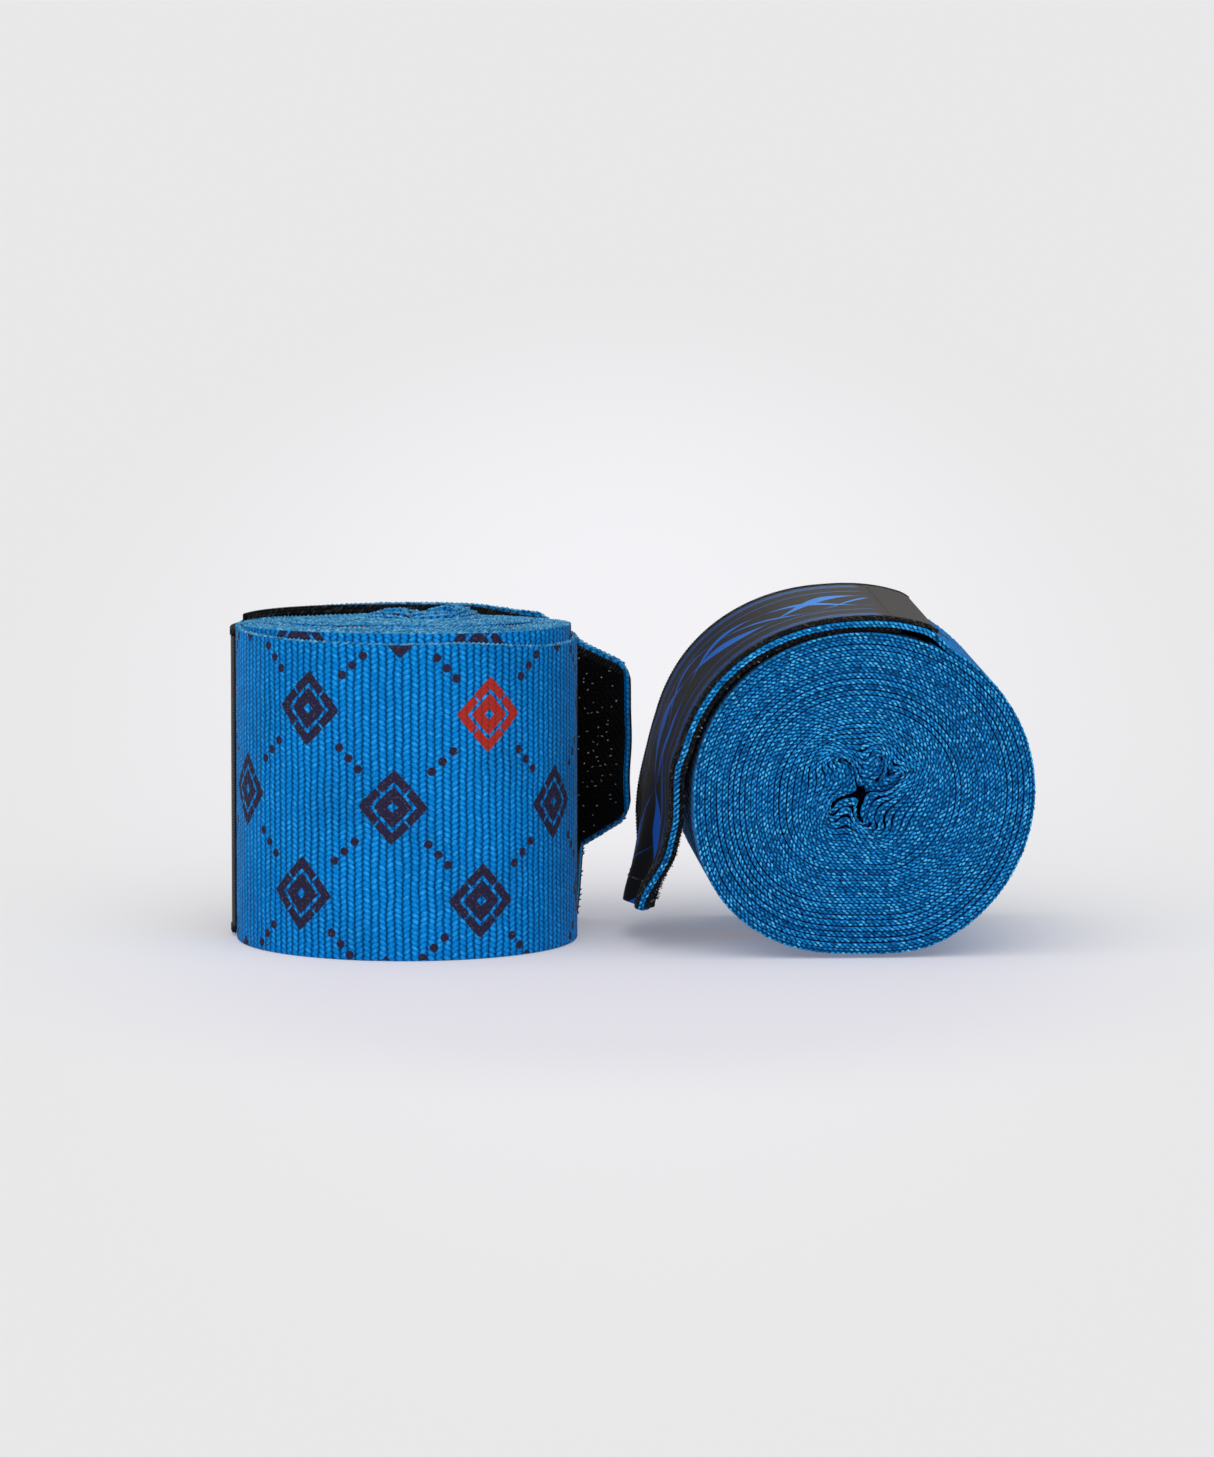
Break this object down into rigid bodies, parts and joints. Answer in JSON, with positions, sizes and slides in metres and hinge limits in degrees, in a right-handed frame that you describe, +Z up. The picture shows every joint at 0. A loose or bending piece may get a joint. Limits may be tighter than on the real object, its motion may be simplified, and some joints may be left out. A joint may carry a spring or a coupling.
{
  "type": "hand wrap pair",
  "caption": "Pair of rolled elastic hand wraps with hook tape closures, one standing on end and one lying on its side, each with a peelable closure tab.",
  "frame": {"origin": "centre of the pair's bounding box, on the surface that both wraps rest on", "axes": "+X from the standing wrap to the lying one, +Y to the back, +Z up"},
  "size_m": [0.1278, 0.0568, 0.054],
  "materials": {
    "band": "ribbed elastic weave, printed",
    "strap": "smooth jacquard weave",
    "hook": "hook tape",
    "thread": "sewing thread"
  },
  "bodies": {
    "left_roll": {"left_band_inner_turns": "band", "left_band_outer_turn": "band", "left_closure_strap_base": "strap", "left_hook_tape_base": "hook", "left_closure_stitching_base": "thread", "left_thumb_loop": "band", "left_thumb_loop_bartack": "thread"},
    "left_tab": {"left_band_tail": "band", "left_closure_strap_tail": "strap", "left_hook_tape_tail": "hook", "left_closure_stitching_tail": "thread"},
    "right_roll": {"right_band_inner_turns": "band", "right_band_outer_turn": "band", "right_closure_strap_base": "strap", "right_hook_tape_base": "hook", "right_closure_stitching_base": "thread", "right_thumb_loop": "band", "right_thumb_loop_bartack": "thread"},
    "right_tab": {"right_band_tail": "band", "right_closure_strap_tail": "strap", "right_hook_tape_tail": "hook", "right_closure_stitching_tail": "thread"}
  },
  "joints": [
    {"name": "left_tab_peel", "type": "hinge", "parent": "left_roll", "child": "left_tab", "pos_m": [-0.01305, 0.0226, 0.025], "axis": [0, 0, 1], "range_deg": [-8, 120]},
    {"name": "right_wrap_lift", "type": "slide", "parent": "left_roll", "child": "right_roll", "axis": [0, 0, 1], "range_m": [0, 0.12]},
    {"name": "right_tab_peel", "type": "hinge", "parent": "right_roll", "child": "right_tab", "pos_m": [0.00246, -0.00328, 0.02029], "axis": [-0.1045, 0.9945, 0], "range_deg": [-8, 30]}
  ]
}
